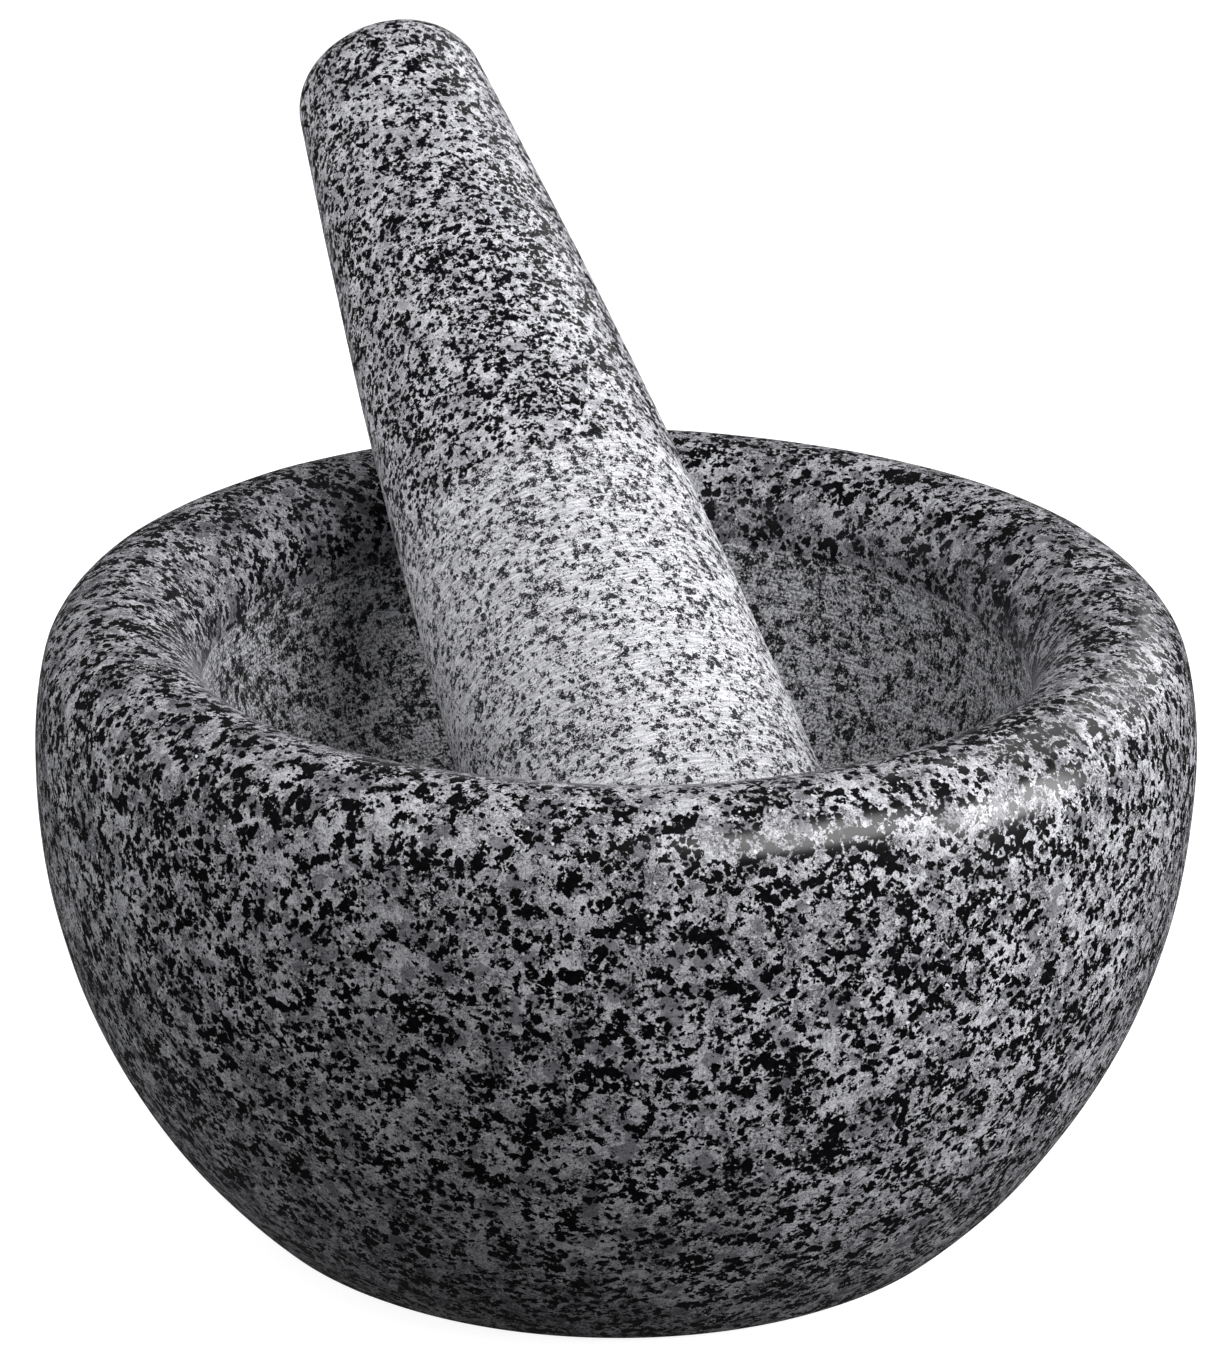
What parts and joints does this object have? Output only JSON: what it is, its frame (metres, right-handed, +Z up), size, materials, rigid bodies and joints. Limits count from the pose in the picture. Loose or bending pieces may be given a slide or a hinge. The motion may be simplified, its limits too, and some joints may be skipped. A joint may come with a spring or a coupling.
{
  "type": "mortar and pestle",
  "caption": "Round-bellied polished stone mortar with a flat foot and thick rolled lip, and a tapered club-shaped pestle leaning in its bowl.",
  "frame": {"origin": "centre of the mortar's flat base, on the surface it stands on", "axes": "+Z up along the mortar's axis; +Y the way the pestle leans, seen from above; +X to the right of someone facing +Y"},
  "size_m": [0.18, 0.2125, 0.1613],
  "materials": {
    "mortar_stone": "speckled dark granite, polished outside, ground matte in the bowl",
    "pestle_stone": "speckled light granite, polished at the held end, ground matte at the working end"
  },
  "bodies": {
    "mortar": {"mortar": "mortar_stone"},
    "pestle": {"pestle": "pestle_stone"}
  },
  "joints": [
    {"name": "pestle_lift", "type": "slide", "parent": "mortar", "child": "pestle", "axis": [0, 0, 1], "range_m": [0, 0.12]}
  ]
}
